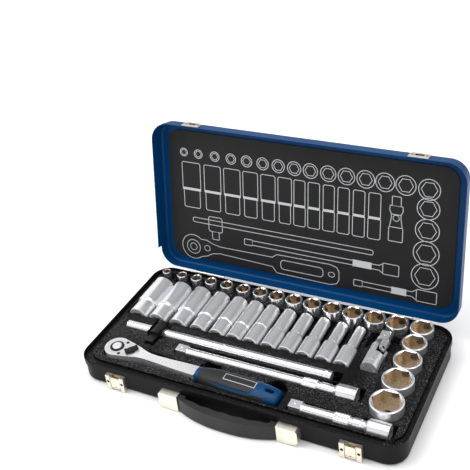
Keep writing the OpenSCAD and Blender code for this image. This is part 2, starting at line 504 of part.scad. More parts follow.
base_shell();
lid_shell();
tool_tray();
lid_panel();
hinge_leaves_base();
hinge_leaves_lid();
pivot_pins();
latch_plates();
latch_catches();
latch_lever_left();
latch_lever_right();
latch_hook_left();
latch_hook_right();
handle_grip();
handle_caps();
rivets();
row_socket(0);  // socket_08
row_socket(1);  // socket_10
row_socket(2);  // socket_11
row_socket(3);  // socket_12
row_socket(4);  // socket_13
row_socket(5);  // socket_14
row_socket(6);  // socket_15
row_socket(7);  // socket_16
row_socket(8);  // socket_17
row_socket(9);  // socket_18
row_socket(10);  // socket_19
row_socket(11);  // socket_20
row_socket(12);  // socket_21
row_socket(13);  // socket_22
col_socket(0);  // socket_23
col_socket(1);  // socket_24
col_socket(2);  // socket_27
col_socket(3);  // socket_30
col_socket(4);  // socket_32
lie_socket(0);  // deep_socket_24
lie_socket(1);  // deep_socket_22
lie_socket(2);  // deep_socket_21
lie_socket(3);  // deep_socket_19
lie_socket(4);  // deep_socket_17
lie_socket(5);  // deep_socket_16
lie_socket(6);  // deep_socket_15
lie_socket(7);  // deep_socket_14
lie_socket(8);  // deep_socket_13
lie_socket(9);  // deep_socket_12
lie_socket(10);  // deep_socket_11
lie_socket(11);  // deep_socket_10
tbar_rod();
tbar_head();
extension_250();
extension_125();
ratchet_body();
ratchet_cover();
ratchet_drive();
ratchet_button();
ratchet_lever();
ratchet_grip();
joint_socket_yoke();
joint_cross();
joint_drive_yoke();
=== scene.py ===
import math
import bpy, bmesh
from mathutils import Vector, Matrix


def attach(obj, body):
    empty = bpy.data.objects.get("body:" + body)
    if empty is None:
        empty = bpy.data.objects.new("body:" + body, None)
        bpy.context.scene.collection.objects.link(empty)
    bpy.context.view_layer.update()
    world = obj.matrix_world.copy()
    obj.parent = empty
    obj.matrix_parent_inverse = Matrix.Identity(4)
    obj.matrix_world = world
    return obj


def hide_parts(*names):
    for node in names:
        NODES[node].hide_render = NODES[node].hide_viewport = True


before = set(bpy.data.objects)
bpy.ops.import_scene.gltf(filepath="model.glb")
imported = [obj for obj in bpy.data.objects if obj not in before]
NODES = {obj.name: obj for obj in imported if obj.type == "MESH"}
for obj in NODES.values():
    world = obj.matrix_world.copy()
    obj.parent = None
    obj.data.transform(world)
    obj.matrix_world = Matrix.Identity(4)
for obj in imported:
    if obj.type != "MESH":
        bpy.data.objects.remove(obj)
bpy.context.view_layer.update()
MM = 0.001

# ------------------------------------------------------------------ node helpers
class Mat:
    """A procedural material being built: n() adds a node, and the calls below return sockets."""

    def __init__(self, name, metallic=0.0, **consts):
        self.m = bpy.data.materials.new(name)
        self.m.use_nodes = True
        self.nt = self.m.node_tree
        self.b = self.nt.nodes["Principled BSDF"]
        self.b.inputs["Metallic"].default_value = metallic
        for k, v in consts.items():
            self.b.inputs[k.replace("_", " ")].default_value = v
        self.tc = self.nt.nodes.new("ShaderNodeTexCoord").outputs["Object"]

    def n(self, kind, **props):
        node = self.nt.nodes.new(kind)
        for k, v in props.items():
            setattr(node, k, v)
        return node

    def link(self, a, b):
        self.nt.links.new(a, b)

    def mapped(self, scale=(1, 1, 1), rot=(0, 0, 0), loc=(0, 0, 0), src=None):
        mp = self.n("ShaderNodeMapping")
        mp.inputs["Scale"].default_value = scale
        mp.inputs["Rotation"].default_value = rot
        mp.inputs["Location"].default_value = loc
        self.link(src or self.tc, mp.inputs["Vector"])
        return mp.outputs["Vector"]

    def noise(self, scale, detail=3.0, rough=0.55, src=None, distortion=0.0):
        nd = self.n("ShaderNodeTexNoise")
        nd.inputs["Scale"].default_value = scale
        nd.inputs["Detail"].default_value = detail
        nd.inputs["Roughness"].default_value = rough
        nd.inputs["Distortion"].default_value = distortion
        self.link(src or self.tc, nd.inputs["Vector"])
        return nd.outputs["Fac"]

    def voronoi(self, scale, feature="F1", src=None, rnd=1.0):
        nd = self.n("ShaderNodeTexVoronoi", feature=feature)
        nd.inputs["Scale"].default_value = scale
        nd.inputs["Randomness"].default_value = rnd
        self.link(src or self.tc, nd.inputs["Vector"])
        return nd.outputs["Distance"]

    def ramp(self, fac, stops, interp="LINEAR"):
        nd = self.n("ShaderNodeValToRGB")
        nd.color_ramp.interpolation = interp
        el = nd.color_ramp.elements
        while len(el) < len(stops):
            el.new(0.5)
        for e, (p, c) in zip(el, stops):
            e.position = p
            e.color = c if len(c) == 4 else (*c, 1)
        self.link(fac, nd.inputs["Fac"])
        return nd.outputs["Color"]

    def remap(self, fac, lo, hi, f0=0.0, f1=1.0):
        nd = self.n("ShaderNodeMapRange")
        nd.inputs["From Min"].default_value = f0
        nd.inputs["From Max"].default_value = f1
        nd.inputs["To Min"].default_value = lo
        nd.inputs["To Max"].default_value = hi
        self.link(fac, nd.inputs["Value"])
        return nd.outputs["Result"]

    def math(self, op, a, b=None, c=None):
        nd = self.n("ShaderNodeMath", operation=op)
        for i, v in enumerate((a, b, c)):
            if v is None:
                continue
            if isinstance(v, (int, float)):
                nd.inputs[i].default_value = v
            else:
                self.link(v, nd.inputs[i])
        return nd.outputs["Value"]

    def mix(self, fac, a, b):
        nd = self.n("ShaderNodeMix", data_type="RGBA")
        for i, v in ((0, fac), (6, a), (7, b)):
            if isinstance(v, (int, float)):
                nd.inputs[i].default_value = v
            elif isinstance(v, tuple):
                nd.inputs[i].default_value = v if len(v) == 4 else (*v, 1)
            else:
                self.link(v, nd.inputs[i])
        return nd.outputs[2]

    def dot(self, vec, d, loc=None):
        nd = self.n("ShaderNodeVectorMath", operation="DOT_PRODUCT")
        self.link(vec, nd.inputs[0])
        nd.inputs[1].default_value = d
        return nd.outputs["Value"]

    def sub(self, vec, p):
        nd = self.n("ShaderNodeVectorMath", operation="SUBTRACT")
        self.link(vec, nd.inputs[0])
        nd.inputs[1].default_value = p
        return nd.outputs["Vector"]

    def bump(self, height, strength, distance, prev=None):
        nd = self.n("ShaderNodeBump")
        nd.inputs["Strength"].default_value = strength
        nd.inputs["Distance"].default_value = distance
        self.link(height, nd.inputs["Height"])
        if prev is not None:
            self.link(prev, nd.inputs["Normal"])
        return nd.outputs["Normal"]

    def edge(self, radius=0.0006):
        """1 on exposed edges, 0 on flat faces."""
        g = self.n("ShaderNodeNewGeometry")
        return self.remap(g.outputs["Pointiness"], 0, 1, 0.5, 0.56)

    def color(self, s):
        if isinstance(s, tuple):
            self.b.inputs["Base Color"].default_value = (*s, 1)
        else:
            self.link(s, self.b.inputs["Base Color"])

    def rough(self, s):
        self.link(s, self.b.inputs["Roughness"])

    def normal(self, s):
        self.link(s, self.b.inputs["Normal"])


def m_case_black():
    k = Mat("case_black_enamel", 0.0, Specular_IOR_Level=0.08)
    big = k.noise(9, 3)
    k.color(k.ramp(big, [(0.3, (0.0055, 0.0055, 0.0062)), (0.7, (0.0105, 0.0105, 0.0115))]))
    fine = k.noise(900, 2)
    k.rough(k.remap(k.noise(40, 4), 0.30, 0.44))
    k.normal(k.bump(fine, 0.12, 0.0002))
    return k.m


def m_lid_blue():
    k = Mat("lid_blue_enamel", 0.0, Coat_Weight=0.03, Coat_Roughness=0.1, Specular_IOR_Level=0.1)
    big = k.noise(7, 3)
    k.color(k.ramp(big, [(0.3, (0.0002, 0.036, 0.122)), (0.7, (0.0004, 0.045, 0.150))]))
    k.rough(k.remap(k.noise(60, 4), 0.26, 0.38))
    k.normal(k.bump(k.noise(600, 2), 0.10, 0.0002))
    return k.m


def m_panel():
    k = Mat("liner_panel_black", 0.0, Specular_IOR_Level=0.3)
    sp = k.noise(1400, 3, 0.7)
    k.color(k.ramp(sp, [(0.35, (0.003, 0.003, 0.0034)), (0.75, (0.014, 0.014, 0.0155))]))
    k.rough(k.remap(k.noise(30, 4), 0.50, 0.66))
    k.normal(k.bump(sp, 0.25, 0.00025))
    return k.m


def m_tray():
    k = Mat("tray_grained_black", 0.0, Specular_IOR_Level=0.12)
    v = k.voronoi(560, "SMOOTH_F1")
    n1 = k.noise(1500, 3, 0.7)
    n2 = k.noise(760, 2, 0.6)
    h = k.math("ADD", v, k.math("MULTIPLY", n1, 0.6))
    base = k.ramp(n1, [(0.40, (0.0012, 0.0012, 0.0014)), (0.64, (0.0040, 0.0040, 0.0044)), (0.80, (0.022, 0.022, 0.024))])
    # painted glints: bright grain specks painted into the colour, strongest along the edges of the pockets, where the
    # grain catches the light
    painted_glint = k.math("MULTIPLY", k.math("ADD", k.edge(), 0.16), k.remap(n2, 0, 1, 0.57, 0.69))
    k.color(k.mix(painted_glint, base, (0.16, 0.16, 0.165)))
    k.rough(k.remap(k.noise(300, 3), 0.32, 0.6))
    k.normal(k.bump(h, 0.5, 0.0005))
    return k.m


def m_chrome(name, rlo=0.05, rhi=0.13, tint=(0.86, 0.87, 0.89), brush=None, mask=None, metallic=1.0):
    """Chrome plate. brush is the axis of turning marks; mask = (kind, centre, size) tints the bore's warm metal and
    paints shade into the drive square.
    """
    k = Mat(name, metallic)
    smear = k.noise(38, 4, 0.5)
    if brush is not None:
        sc = [30, 30, 30]
        sc["xyz".index(brush)] = 1800
        fine = k.noise(1.0, 2, 0.6, src=k.mapped(scale=tuple(sc)))
    else:
        fine = k.noise(1700, 2)
    col = k.ramp(smear, [(0.3, tuple(c * 0.96 for c in tint)), (0.7, tint)])
    r = k.math("ADD", k.remap(smear, rlo, rhi), k.remap(fine, -0.01, 0.015))
    if mask:
        kind, c, size = mask
        rel = k.sub(k.tc, c)
        z = kind == "stand"
        ds = []
        for a in (30, 90, 150):
            a = math.radians(a)
            ds.append(k.math("ABSOLUTE", k.dot(rel, (math.cos(a), math.sin(a), 0) if z else (math.cos(a), 0, math.sin(a)))))
        hexa = k.math("LESS_THAN", k.math("MAXIMUM", ds[0], k.math("MAXIMUM", ds[1], ds[2])), size)
        sq = k.math("LESS_THAN", k.math("MAXIMUM", k.math("ABSOLUTE", k.dot(rel, (1, 0, 0))), k.math("ABSOLUTE", k.dot(rel, (0, 1, 0) if z else (0, 0, 1)))), 6.41 * MM)
        along = k.dot(rel, (0, 0, 1) if z else (0, 1, 0))
        front = k.math("LESS_THAN", along, 11.5 * MM)
        inside = k.math("ADD", k.math("MULTIPLY", sq, front), k.math("MULTIPLY", hexa, k.math("SUBTRACT", 1.0, front)))
        warm = k.ramp(k.noise(420, 4), [(0.3, (0.52, 0.42, 0.31)), (0.7, (0.72, 0.62, 0.49))])
        # painted shade: the drive square's recess is coloured near black, while the hex bore keeps its warm metal tint
        painted_drive_shade = k.ramp(k.noise(420, 4), [(0.3, (0.10, 0.09, 0.08)), (0.7, (0.2, 0.185, 0.17))])
        col = k.mix(inside, col, k.mix(front, warm, painted_drive_shade))
        r = k.math("ADD", k.math("MULTIPLY", r, k.math("SUBTRACT", 1.0, inside)), k.math("MULTIPLY", inside, 0.15))
    k.color(col)
    k.rough(r)
    k.normal(k.bump(fine, 0.04, 0.0001))
    return k.m


def m_cover():
    """The satin cover plate, with its two blackened screws."""
    k = Mat("cover_satin", 1.0)
    fine = k.noise(1500, 3)
    c, sn = math.cos(math.radians(-1.5)), math.sin(math.radians(-1.5))
    hit = None
    for x, y in ((9.5, 11.2), (9.5, -11.2)):
        px, py = -181.5 + x * c - y * sn, -71.5 + x * sn + y * c
        rel = k.sub(k.tc, (px * MM, py * MM, 0))
        dx, dy = k.dot(rel, (1, 0, 0)), k.dot(rel, (0, 1, 0))
        d = k.math("SQRT", k.math("ADD", k.math("MULTIPLY", dx, dx), k.math("MULTIPLY", dy, dy)))
        h = k.math("LESS_THAN", d, 2.24 * MM)
        hit = h if hit is None else k.math("ADD", hit, h)
    k.color(k.mix(hit, k.ramp(fine, [(0.3, (0.80, 0.80, 0.81)), (0.7, (0.88, 0.88, 0.89))]), (0.05, 0.05, 0.052)))
    k.rough(k.math("ADD", k.remap(k.noise(60, 3), 0.24, 0.34), k.math("MULTIPLY", hit, 0.05)))
    k.normal(k.bump(fine, 0.06, 0.0001))
    return k.m


def m_nickel(name="latch_nickel", tint=(0.83, 0.77, 0.66)):
    k = Mat(name, 1.0)
    s = k.noise(160, 4)
    k.color(k.ramp(s, [(0.3, tuple(c * 0.92 for c in tint)), (0.7, tint)]))
    k.rough(k.remap(k.noise(70, 4), 0.28, 0.42))
    k.normal(k.bump(k.noise(1600, 2), 0.10, 0.0002))
    return k.m


def m_black_metal(name="black_oxide"):
    k = Mat(name, 0.85)
    s = k.noise(120, 4)
    k.color(k.ramp(s, [(0.3, (0.014, 0.013, 0.012)), (0.75, (0.045, 0.043, 0.04))]))
    k.rough(k.remap(k.noise(200, 4), 0.26, 0.45))
    k.normal(k.bump(k.noise(1400, 3), 0.16, 0.0002))
    return k.m


def m_plastic(name, lo, hi, rlo=0.4, rhi=0.55, grain=1100, depth=0.00025, strength=0.3):
    k = Mat(name, 0.0, Specular_IOR_Level=0.2)
    s = k.noise(grain, 3, 0.6)
    k.color(k.ramp(k.math("ADD", k.math("MULTIPLY", s, 0.5), k.math("MULTIPLY", k.noise(25, 3), 0.5)), [(0.3, lo), (0.7, hi)]))
    k.rough(k.remap(k.noise(50, 3), rlo, rhi))
    k.normal(k.bump(s, strength, depth))
    return k.m


def m_ink():
    k = Mat("print_ink_grey", 0.0)
    k.color(k.ramp(k.noise(1800, 3), [(0.3, (0.42, 0.43, 0.44)), (0.7, (0.62, 0.63, 0.64))]))
    k.rough(k.remap(k.noise(300, 2), 0.45, 0.6))
    return k.m


# ------------------------------------------------------------------ sizes repeated from the part
OPEN = math.radians(100.4)
HY, HZ = 112.5, 31.5
PANEL_Z = 46.6
ROW = [(8, -200, 12.2), (10, -174, 14.8), (11, -150, 16), (12, -126, 17.2), (13, -100.5, 18.6), (14, -74, 20), (15, -47.5, 21.4),
       (16, -22.5, 22.4), (17, 3.5, 23.8), (18, 30.5, 25), (19, 59.5, 26.4), (20, 88.7, 28), (21, 119.2, 28.8), (22, 149.5, 30.2)]
COL = [(23, 182.2, 91.3, 30.4, 37.6), (24, 181.9, 60.3, 31.4, 37.6), (27, 183.6, 26.7, 35.4, 38.4), (30, 183.7, -10.9, 39.2, 39.6), (32, 183.6, -51.4, 41.2, 39.8)]
DEEP = [(24, -196.3, 31.4, 27.4), (22, -165, 30, 26), (21, -132.5, 28.6, 25.4), (19, -101.5, 26.2, 23.6), (17, -72.5, 24, 22.4), (16, -47, 22.8, 21.8),
        (15, -22, 21, 22), (14, 3.5, 19.8, 22), (13, 28.6, 18.6, 22), (12, 54, 17.2, 22), (11, 79.6, 16, 22), (10, 105.2, 14.6, 22)]
ROW_Y, LIE_Z, DEEP_Y, DEEP_H = 90.4, 24.2, 0.5, 75.2

# ------------------------------------------------------------------ CAD nodes: materials and edges
def dress(name, mat, bevel=0.0003, seg=2, angle=32):
    o = NODES[name]
    o.data.materials.clear()
    o.data.materials.append(mat)
    for p in o.data.polygons:
        p.material_index = 0
    if bevel:
        b = o.modifiers.new("edges", "BEVEL")
        b.width = bevel
        b.segments = seg
        b.limit_method = "ANGLE"
        b.angle_limit = math.radians(angle)
        b.harden_normals = True
        b.use_clamp_overlap = True


M = {}
M["case"] = m_case_black()
M["lid"] = m_lid_blue()
M["panel"] = m_panel()
M["tray"] = m_tray()
M["chrome"] = m_chrome("chrome_polished")
M["satin"] = m_chrome("chrome_satin", 0.22, 0.32, (0.84, 0.845, 0.86), metallic=0.74)
M["satin_x"] = m_chrome("chrome_turned_x", 0.17, 0.27, (0.80, 0.805, 0.82), brush="x", metallic=0.86)
M["cover"] = m_cover()
M["zinc"] = m_nickel("zinc_plate", (0.62, 0.61, 0.58))
M["nickel"] = m_nickel()
M["cap"] = m_nickel("cap_nickel", (0.86, 0.81, 0.71))
M["oxide"] = m_black_metal()
M["handle"] = m_plastic("handle_black", (0.014, 0.014, 0.014), (0.03, 0.03, 0.031), 0.34, 0.46, 700, 0.0003, 0.25)
M["grey"] = m_plastic("grip_dark_grey", (0.014, 0.015, 0.017), (0.03, 0.031, 0.034), 0.42, 0.6, 900, 0.0003, 0.4)
M["blue"] = m_plastic("grip_blue", (0.0004, 0.032, 0.098), (0.0007, 0.048, 0.142), 0.32, 0.45, 900, 0.0002, 0.25)
M["ink"] = m_ink()

dress("base_shell", M["case"], 0.0004)
dress("lid_shell", M["lid"], 0.0005, 3)
dress("tool_tray", M["tray"], 0.0005, 2)
dress("lid_panel", M["panel"], 0.0003)
for n in ("hinge_leaves_base", "hinge_leaves_lid", "pivot_pins", "rivets"):
    dress(n, M["zinc"], 0.0002)
for n in ("latch_plates", "latch_catches", "latch_lever_left", "latch_lever_right", "latch_hook_left", "latch_hook_right"):
    dress(n, M["nickel"], 0.00022)
dress("handle_caps", M["cap"], 0.0005, 3)
dress("handle_grip", M["handle"], 0.0009, 3, 40)
for s, x, od in ROW:
    dress("socket_%02d" % s, m_chrome("chrome_socket_%02d" % s, 0.10, 0.17, (0.9, 0.905, 0.92), mask=("stand", (x * MM, ROW_Y * MM, 1.9 * MM), (s / 2 + 0.16) * MM), metallic=0.94), 0.00025)
for s, x, y, od, h in COL:
    dress("socket_%02d" % s, m_chrome("chrome_socket_%02d" % s, 0.24, 0.33, (0.9, 0.905, 0.92), mask=("stand", (x * MM, y * MM, 1.9 * MM), (s / 2 + 0.16) * MM), metallic=0.88), 0.0003)
for s, x, od, dd in DEEP:
    dress("deep_socket_%02d" % s, m_chrome("chrome_deep_%02d" % s, 0.17, 0.26, (0.93, 0.94, 0.96), brush="y", mask=("lie", (x * MM, DEEP_Y * MM, LIE_Z * MM), (s / 2 + 0.16) * MM), metallic=0.72), 0.0003)
dress("tbar_rod", M["satin_x"], 0.0003)
dress("tbar_head", M["oxide"], 0.0004, 3)
dress("extension_250", M["satin_x"], 0.0003)
dress("extension_125", M["satin_x"], 0.0003)
dress("ratchet_body", M["satin"], 0.0012, 4, 30)
dress("ratchet_cover", M["cover"], 0.0002)
dress("ratchet_drive", M["oxide"], 0.00025)
dress("ratchet_button", M["satin"], 0.0003)
dress("ratchet_lever", M["oxide"], 0.0005, 3)
dress("joint_socket_yoke", M["satin"], 0.0004)
dress("joint_cross", M["oxide"], 0.0003)
dress("joint_drive_yoke", M["satin"], 0.0004)


# ------------------------------------------------------------------ mesh helpers
def obj_from(name, verts, faces, mat, body, smooth=False):
    me = bpy.data.meshes.new(name)
    me.from_pydata([tuple(c * MM for c in v) for v in verts], [], faces)
    me.validate()
    me.update()
    if smooth:
        for p in me.polygons:
            p.use_smooth = True
    o = bpy.data.objects.new(name, me)
    bpy.context.scene.collection.objects.link(o)
    me.materials.append(mat)
    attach(o, body)
    return o


def lid_pt(x, b, h=0.0):
    """A point on the liner panel: b is up from the hinge, h stands out of its face; returned in the open pose."""
    y, z = HY - b, PANEL_Z - h
    dy, dz = y - HY, z - HZ
    c, s = math.cos(-OPEN), math.sin(-OPEN)
    return (x, HY + dy * c - dz * s, HZ + dy * s + dz * c)


class Print:
    """Thin raised ink lines on the liner panel."""

    def __init__(self):
        self.v, self.f = [], []

    def poly(self, pts, h=0.12):
        """A filled convex patch."""
        k = len(self.v)
        n = len(pts)
        for hh in (0.01, h):
            for x, b in pts:
                self.v.append(lid_pt(x, b, hh))
        self.f.append([k + n + i for i in range(n)])
        self.f.append([k + n - 1 - i for i in range(n)])
        for i in range(n):
            j = (i + 1) % n
            self.f.append([k + i, k + j, k + n + j, k + n + i])

    def line(self, pts, w=0.9, closed=False):
        pts = [tuple(p) for p in pts]
        n = len(pts)
        L, R = [], []
        for i, p in enumerate(pts):
            a = pts[(i - 1) % n] if closed or i > 0 else None
            c = pts[(i + 1) % n] if closed or i < n - 1 else None
            d1 = Vector((p[0] - a[0], p[1] - a[1])).normalized() if a else None
            d2 = Vector((c[0] - p[0], c[1] - p[1])).normalized() if c else None
            if d1 is None:
                d1 = d2
            if d2 is None:
                d2 = d1
            t = d1 + d2
            if t.length < 1e-6:
                t = d1
            t.normalize()
            nn = Vector((-t.y, t.x))
            k = w / 2 / max(0.45, nn.dot(Vector((-d1.y, d1.x))))
            L.append((p[0] + nn.x * k, p[1] + nn.y * k))
            R.append((p[0] - nn.x * k, p[1] - nn.y * k))
        k0 = len(self.v)
        for i in range(n):
            for q in (L[i], R[i]):
                for hh in (0.01, 0.12):
                    self.v.append(lid_pt(q[0], q[1], hh))
        m = n if closed else n - 1
        for i in range(m):
            a = k0 + 4 * i
            b = k0 + 4 * ((i + 1) % n)
            self.f += [[a + 1, b + 1, b + 3, a + 3], [a, a + 2, b + 2, b], [a, b, b + 1, a + 1], [a + 2, a + 3, b + 3, b + 2]]
        if not closed:
            a = k0
            self.f.append([a, a + 1, a + 3, a + 2])
            a = k0 + 4 * (n - 1)
            self.f.append([a, a + 2, a + 3, a + 1])

    def ring(self, x, b, r, w=0.9, n=36):
        self.line([(x + r * math.cos(2 * math.pi * i / n), b + r * math.sin(2 * math.pi * i / n)) for i in range(n)], w, True)

    def hexa(self, x, b, r, w=0.9):
        self.line([(x + r * math.cos(math.pi * i / 3), b + r * math.sin(math.pi * i / 3)) for i in range(6)], w, True)

    def rect(self, x0, b0, x1, b1, w=0.9, r=0.0):
        if r <= 0:
            self.line([(x0, b0), (x1, b0), (x1, b1), (x0, b1)], w, True)
            return
        pts = []
        for cx, cb, a0 in ((x1 - r, b0 + r, -90), (x1 - r, b1 - r, 0), (x0 + r, b1 - r, 90), (x0 + r, b0 + r, 180)):
            for i in range(5):
                a = math.radians(a0 + i * 22.5)
                pts.append((cx + r * math.cos(a), cb + r * math.sin(a)))
        self.line(pts, w, True)

    def make(self, name, mat):
        return obj_from(name, self.v, self.f, mat, "lid")


# ------------------------------------------------------------------ the printed panel
P = Print()
xs = [-190, -166, -139, -113, -88, -63, -39, -15, 9, 35, 61, 88, 114, 141.5]
for i, x in enumerate(xs):
    r = 5.8 + (13.2 - 5.8) * i / 13
    x += 5.5 * max(0.0, 1 - i / 11)
    P.ring(x, 178, r, 1.0)
    P.hexa(x, 178, r * 0.74, 0.8)
for b, r in ((177, 14), (151, 14.6), (121, 15.6), (89, 17), (56, 18)):
    P.ring(172, b, r, 1.0)
    P.hexa(172, b, r * 0.76, 0.8)
DX = [-188.4, -152.6, -121, -90.9, -63.2, -37.2, -13.4, 7.4, 29.2, 50.1, 71.6, 93]
DW = [29.3, 26.5, 25.8, 22.9, 21.8, 20.3, 16.3, 16.7, 15.9, 16.1, 16, 16.4]
for i, (x0, w) in enumerate(zip(DX, DW)):
    t = i / 11
    top = 163.6 + (161 - 163.6) * t
    bot = 94.6 + (96 - 94.6) * t
    band = 123 + (126 - 123) * t
    dw = 1.6 if i < 6 else -0.4
    q = 1.8
    P.line([(x0, band + 1.5), (x0, top - q), (x0 + q, top), (x0 + w - q, top), (x0 + w, top - q), (x0 + w, band + 1.5)], 0.9)
    P.line([(x0 + dw, band - 1.5), (x0 + dw, bot + q), (x0 + dw + q, bot), (x0 + w - dw - q, bot), (x0 + w - dw, bot + q), (x0 + w - dw, band - 1.5)], 0.9)
    P.poly([(x0 - 0.3, band - 1.8), (x0 - 0.3, band + 1.8), (x0 + w + 0.3, band + 1.8), (x0 + w + 0.3, band - 1.8)][::-1])
# sliding bar
P.rect(-174, 72.5, 101, 79.5, 0.9, 2.4)
P.rect(-148, 62, -126, 85, 0.9, 3)
P.rect(-142.5, 50, -131.5, 62, 0.9, 1)
# extension 250
P.rect(-90.5, 51.5, -78, 60.5, 0.9, 1)
P.rect(-78, 52.5, 73, 59.5, 0.9)
P.rect(73, 51.5, 99, 60.5, 0.9)
P.line([(99, 59.5), (110, 59.5), (115, 63)], 0.9)
P.line([(99, 52.5), (110, 52.5), (115, 49)], 0.9)
P.rect(115, 48, 137, 64, 0.9, 1.5)
P.poly([(73.4, 51.9), (73.4, 60.1), (98.6, 60.1), (98.6, 51.9)][::-1])
# extension 125
P.rect(75, 22.5, 87, 31.5, 0.9, 1)
P.rect(87, 23.5, 128, 30.5, 0.9)
P.rect(128, 22.5, 148, 31.5, 0.9)
P.poly([(128.4, 22.9), (128.4, 31.1), (147.6, 31.1), (147.6, 22.9)][::-1])
P.line([(148, 30.5), (156, 30.5), (162, 34.5)], 0.9)
P.line([(148, 23.5), (156, 23.5), (162, 19.5)], 0.9)
P.rect(162, 18.5, 189, 35.5, 0.9, 1.5)
# ratchet
P.line([(-144 + 0, 42.5), (-152, 46)] + [(-175 + 19 * math.cos(math.radians(a)), 32 + 19 * math.sin(math.radians(a))) for a in range(48, 315, 12)] + [(-152, 21), (-144, 26), (-131, 28.5), (-47, 25.5), (-40, 17), (40, 16), (50, 19), (53.5, 25), (53.5, 38), (50, 44), (40, 46.5), (-40, 45.5), (-47, 40), (-131, 39.5)], 0.9, True)
P.ring(-175, 32, 11, 0.9)
P.ring(-175, 32, 5.5, 0.8)
P.ring(-152, 33.5, 4.5, 0.8)
P.rect(-34, 24.5, 30, 38.5, 0.9, 5)
P.rect(38, 28, 47, 35, 0.8, 3.4)
# universal joint
P.rect(121, 98, 140, 118, 0.9, 1.5)
P.line([(122, 118), (124, 131), (124, 136), (137, 136), (137, 131), (139, 118)], 0.9)
P.ring(130.5, 131, 4.2, 0.8)
P.line([(124, 136), (121.5, 142), (122, 148), (139, 148), (139.5, 142), (137, 136)], 0.9)
P.rect(124.5, 148, 136.5, 161, 0.9, 1)
P.make("liner_print", M["ink"])

# ------------------------------------------------------------------ ratchet grip
RX, RY, RA = -181.5, -71.5, math.radians(-1.5)


def rat(x, y, z):
    c, s = math.cos(RA), math.sin(RA)
    return (RX + x * c - y * s, RY + x * s + y * c, z)


GRIP = [  # x, half width, half height, centre height
    (122.6, 8.6, 8.2, 25), (123.2, 9.6, 9.2, 25), (125.5, 10.3, 9.6, 25), (127.6, 10.3, 9.6, 25), (128.4, 9.9, 9.3, 25), (129.4, 10.6, 9.8, 25),
    (134, 11.9, 10.7, 25), (142, 13.3, 11.4, 25), (152, 14.2, 11.8, 25), (166, 14.8, 11.9, 25), (182, 15.1, 11.95, 25), (196, 14.9, 11.9, 24.9),
    (208, 14.3, 11.6, 24.7), (218, 13.7, 11.1, 24.5), (228, 13.3, 10.4, 24.2), (234, 12.6, 9.6, 24.1), (237.2, 11, 8.2, 24), (238.8, 8.6, 6, 24), (239.3, 5, 3.4, 24)]


def grip_at(x):
    for a, b in zip(GRIP, GRIP[1:]):
        if a[0] <= x <= b[0]:
            t = (x - a[0]) / (b[0] - a[0])
            return tuple(a[i] + (b[i] - a[i]) * t for i in range(4))
    return GRIP[-1] if x > GRIP[-1][0] else GRIP[0]


def grip_point(x, ang, off=0.0):
    _, hw, hh, cz = grip_at(x)
    c, s = math.cos(ang), math.sin(ang)
    e = 2 / 2.6
    y = (hw + off) * math.copysign(abs(c) ** e, c)
    z = cz + (hh + off) * math.copysign(abs(s) ** e, s)
    return y, z


def is_blue(x, ang):
    """The blue under-layer: collar, end cap, and a stepped band along each lower flank."""
    if x < 128.2 or x > 230:
        return True
    up = math.sin(ang)
    if 146 < x <= 160:
        return 0.58 - (x - 146) / 14 * 0.22 < up < 0.58
    if 160 < x <= 199:
        return 0.36 < up < 0.58
    if 199 < x <= 208:
        t = (x - 199) / 9
        return 0.36 + 0.24 * t < up < 0.58 + 0.40 * t
    if 208 < x <= 222:
        return up > 0.60
    if 222 < x <= 230:
        return up > 0.60 - (x - 222) / 8 * 1.3
    return False


